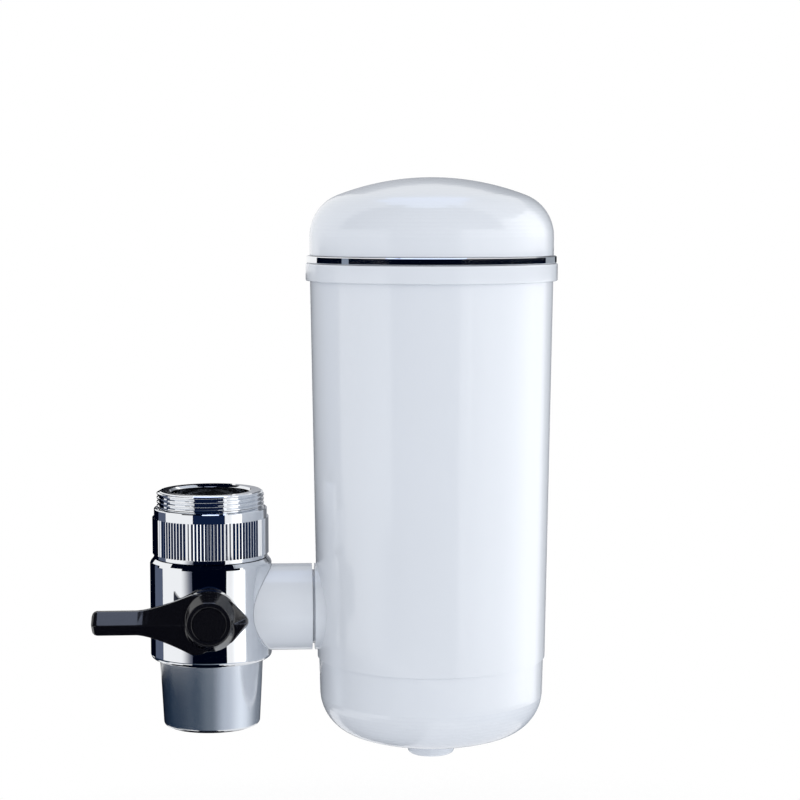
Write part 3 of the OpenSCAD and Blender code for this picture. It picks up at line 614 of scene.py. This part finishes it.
floor = plane("floor", FLOOR_SIZE, (0, 0, FLOOR_Z))
paint = Shader("floor_paint")
paint.set(Base_Color=rgba(FLOOR_TONE), Roughness=0.8)
open_sky = paint.node("ShaderNodeAmbientOcclusion", {"samples": 16}, Distance=SHADOW_REACH)["AO"]
whole = paint.mix((1 - open_sky) * SHADOW_DEPTH, rgba(WHITE), rgba(SHADOW))
paint.show(SEEN, paint.node("ShaderNodeEmission", {}, whole, 1.0)["Emission"])
dress(floor, paint.block)

# %% [markdown]
# ## The key lamp
# Soft light alone leaves a cylinder flat. One large lamp, in front and to the right,
# brightens that side of the housing a little, and no more than that.

# %% Key lamp
KEY_PLACE = Vector((0.75, -0.75, 0.25))
KEY_TARGET = Vector((0.04, 0, 0))
KEY_SIZE = (0.5, 0.9)
KEY_POWER = 1.4
KEY_TONE = (1, 0.99, 0.97)

key_data = bpy.data.lights.new("key", "AREA")
key_data.shape = "RECTANGLE"
key_data.size, key_data.size_y = KEY_SIZE
key_data.energy = KEY_POWER
key_data.color = KEY_TONE
key = bpy.data.objects.new("key", key_data)
bpy.context.collection.objects.link(key)
key.location = KEY_PLACE
key.rotation_euler = (KEY_TARGET - KEY_PLACE).to_track_quat("-Z", "Y").to_euler()
print("lamp", key.name, "of", KEY_POWER, "watts")

# %% [markdown]
# ## Cards round the valve
# Chrome shows its form only when it mirrors something dark. A photographer stands strips of
# card round the part, so that each side of the cylinder picks up one of them. Bearings are
# counted in degrees from the front, to the right. Only reflections see the cards. They are
# strips cut from a cylinder, and their glow changes with the bearing by a ramp, so that the
# edge of each band can be hard or soft. Two level cards serve the facets that mirror
# straight up or down.

# %% Card makers
CARD_SIDES = 180
HIDDEN_FROM = ("camera", "diffuse", "transmission", "volume_scatter", "shadow")


def glow_only(sheet, shader, colour):
    """A surface that glows in one colour or ramp, and that reflections alone can see."""
    shader.surface(shader.node("ShaderNodeEmission", {}, colour, 1.0)["Emission"])
    shader.tree.nodes.remove(shader.main)
    dress(sheet, shader.block)
    for kind in HIDDEN_FROM:
        setattr(sheet, "visible_" + kind, False)


def card(name, low, high, radius, hard, stops):
    """A band of a cylinder round the valve, with a colour ramp over its bearing."""
    bpy.ops.object.select_all(action="DESELECT")
    bpy.ops.mesh.primitive_cylinder_add(
        vertices=CARD_SIDES, radius=radius, depth=high - low, end_fill_type="NOTHING",
        location=(0, 0, (low + high) / 2))
    band = bpy.context.object
    band.name = name
    first, last = stops[0][0], stops[-1][0]
    bpy.ops.object.mode_set(mode="EDIT")
    bpy.ops.mesh.select_all(action="DESELECT")
    close()
    for face in band.data.polygons:
        bearing = math.degrees(math.atan2(face.center.x, -face.center.y))
        face.select = not first <= bearing <= last
    bpy.ops.object.mode_set(mode="EDIT")
    bpy.ops.mesh.delete(type="FACE")
    close()
    shader = Shader(name)
    spot = shader.node("ShaderNodeSeparateXYZ", {}, shader.node("ShaderNodeTexCoord", {})["Object"])
    angle = spot["X"].maths("ARCTAN2", spot["X"], 0 - spot["Y"])
    share = (angle - math.radians(first)) * (1 / math.radians(last - first))
    places = [((bearing - first) / (last - first), colour) for bearing, colour in stops]
    glow_only(band, shader, shader.ramp(share, places, hard))


def flat_card(name, colour, low, high, z):
    """A level card over or under the valve."""
    sheet = plane(name, 1)
    open_all()
    bpy.ops.transform.resize(value=(high[0] - low[0], high[1] - low[1], 1))
    bpy.ops.transform.translate(value=((low[0] + high[0]) / 2, (low[1] + high[1]) / 2, z))
    close()
    glow_only(sheet, Shader(name), rgba(colour))


print("card makers ready")

# %% [markdown]
# ## Where each card stands
# The dark strips in front give the valve its black bands, and they stop at a few heights so
# that the body, the nut, the trim ring and the lid each see their own. Of the soft ones,
# card_low is for the outlet's shell, which narrows downwards and so mirrors the room below
# the others, card_glow brightens the right, and card_fade softens the left of the bands.

# %% Cards that the chrome mirrors
INK = (0.0, 0.001, 0.006)
NAVY = (0.006, 0.015, 0.050)
SLATE = (0.10, 0.12, 0.18)
RADIUS = 0.33
FOOT, NUT_LINE, RING_LOW, RING_HIGH, LEVER_LINE, TOP = -0.125, -0.070, 0.047, 0.058, 0.15, 1.5

# Name, foot, top, radius, whether its edges are hard, and its bearings with their colours
CARDS = [
    ("card_body", FOOT, NUT_LINE, RADIUS, True, [(-34, INK), (31, INK)]),
    ("card_nut", NUT_LINE, RING_LOW, RADIUS, True, [(-34, NAVY), (31, NAVY)]),
    ("card_lid", RING_HIGH, LEVER_LINE, RADIUS, True, [(-34, INK), (31, INK)]),
    ("card_lever", LEVER_LINE, TOP, RADIUS, True, [(-100, INK), (70, INK)]),
    ("card_fade", FOOT, NUT_LINE, RADIUS, False, [(-58, WHITE), (-34, (0.10, 0.11, 0.15))]),
    ("card_ring", RING_LOW, RING_HIGH, RADIUS, True, [
        (-179, WHITE), (-138, INK), (-92, (0.25, 0.29, 0.36)), (-82, INK), (104, INK),
        (112, (0.35, 0.38, 0.42)), (138, INK), (156, (0.8, 0.82, 0.85)), (179, WHITE)]),
    ("card_left", FOOT, RING_LOW, RADIUS, True, [(-179, INK), (-128, SLATE), (-100, SLATE)]),
    ("card_low", -0.155, -0.096, 0.20, False, [
        (-179, (0.002, 0.003, 0.009)), (-81, (0.016, 0.034, 0.065)),
        (-39, (0.048, 0.071, 0.107)), (-2, (0.153, 0.184, 0.227)), (34, (0.485, 0.533, 0.617)),
        (74, (0.83, 0.888, 0.973)), (133, (0.212, 0.242, 0.287)), (179, (0.05, 0.06, 0.08))]),
    ("card_glow", -0.155, 0.3, 0.42, False, [
        (38, WHITE), (58, (1.6, 1.6, 1.6)), (97, (2.9, 2.9, 2.9)), (112, (2.2, 2.2, 2.2)),
        (132, (0.35, 0.36, 0.38)), (150, (0.16, 0.17, 0.19)), (179, (0.4, 0.41, 0.44))]),
]
# Name, colour, near left corner, far right corner, height
FLAT_CARDS = [
    ("card_under", INK, (-0.10, -0.22), (0.045, 0.10), -0.157),
    ("card_over", (1.35, 1.55, 2.1), (-0.5, -0.6), (0.5, 0.9), 1.55),
]

for row in CARDS:
    card(*row)
for row in FLAT_CARDS:
    flat_card(*row)
print("stood", len(CARDS) + len(FLAT_CARDS), "cards round the valve")
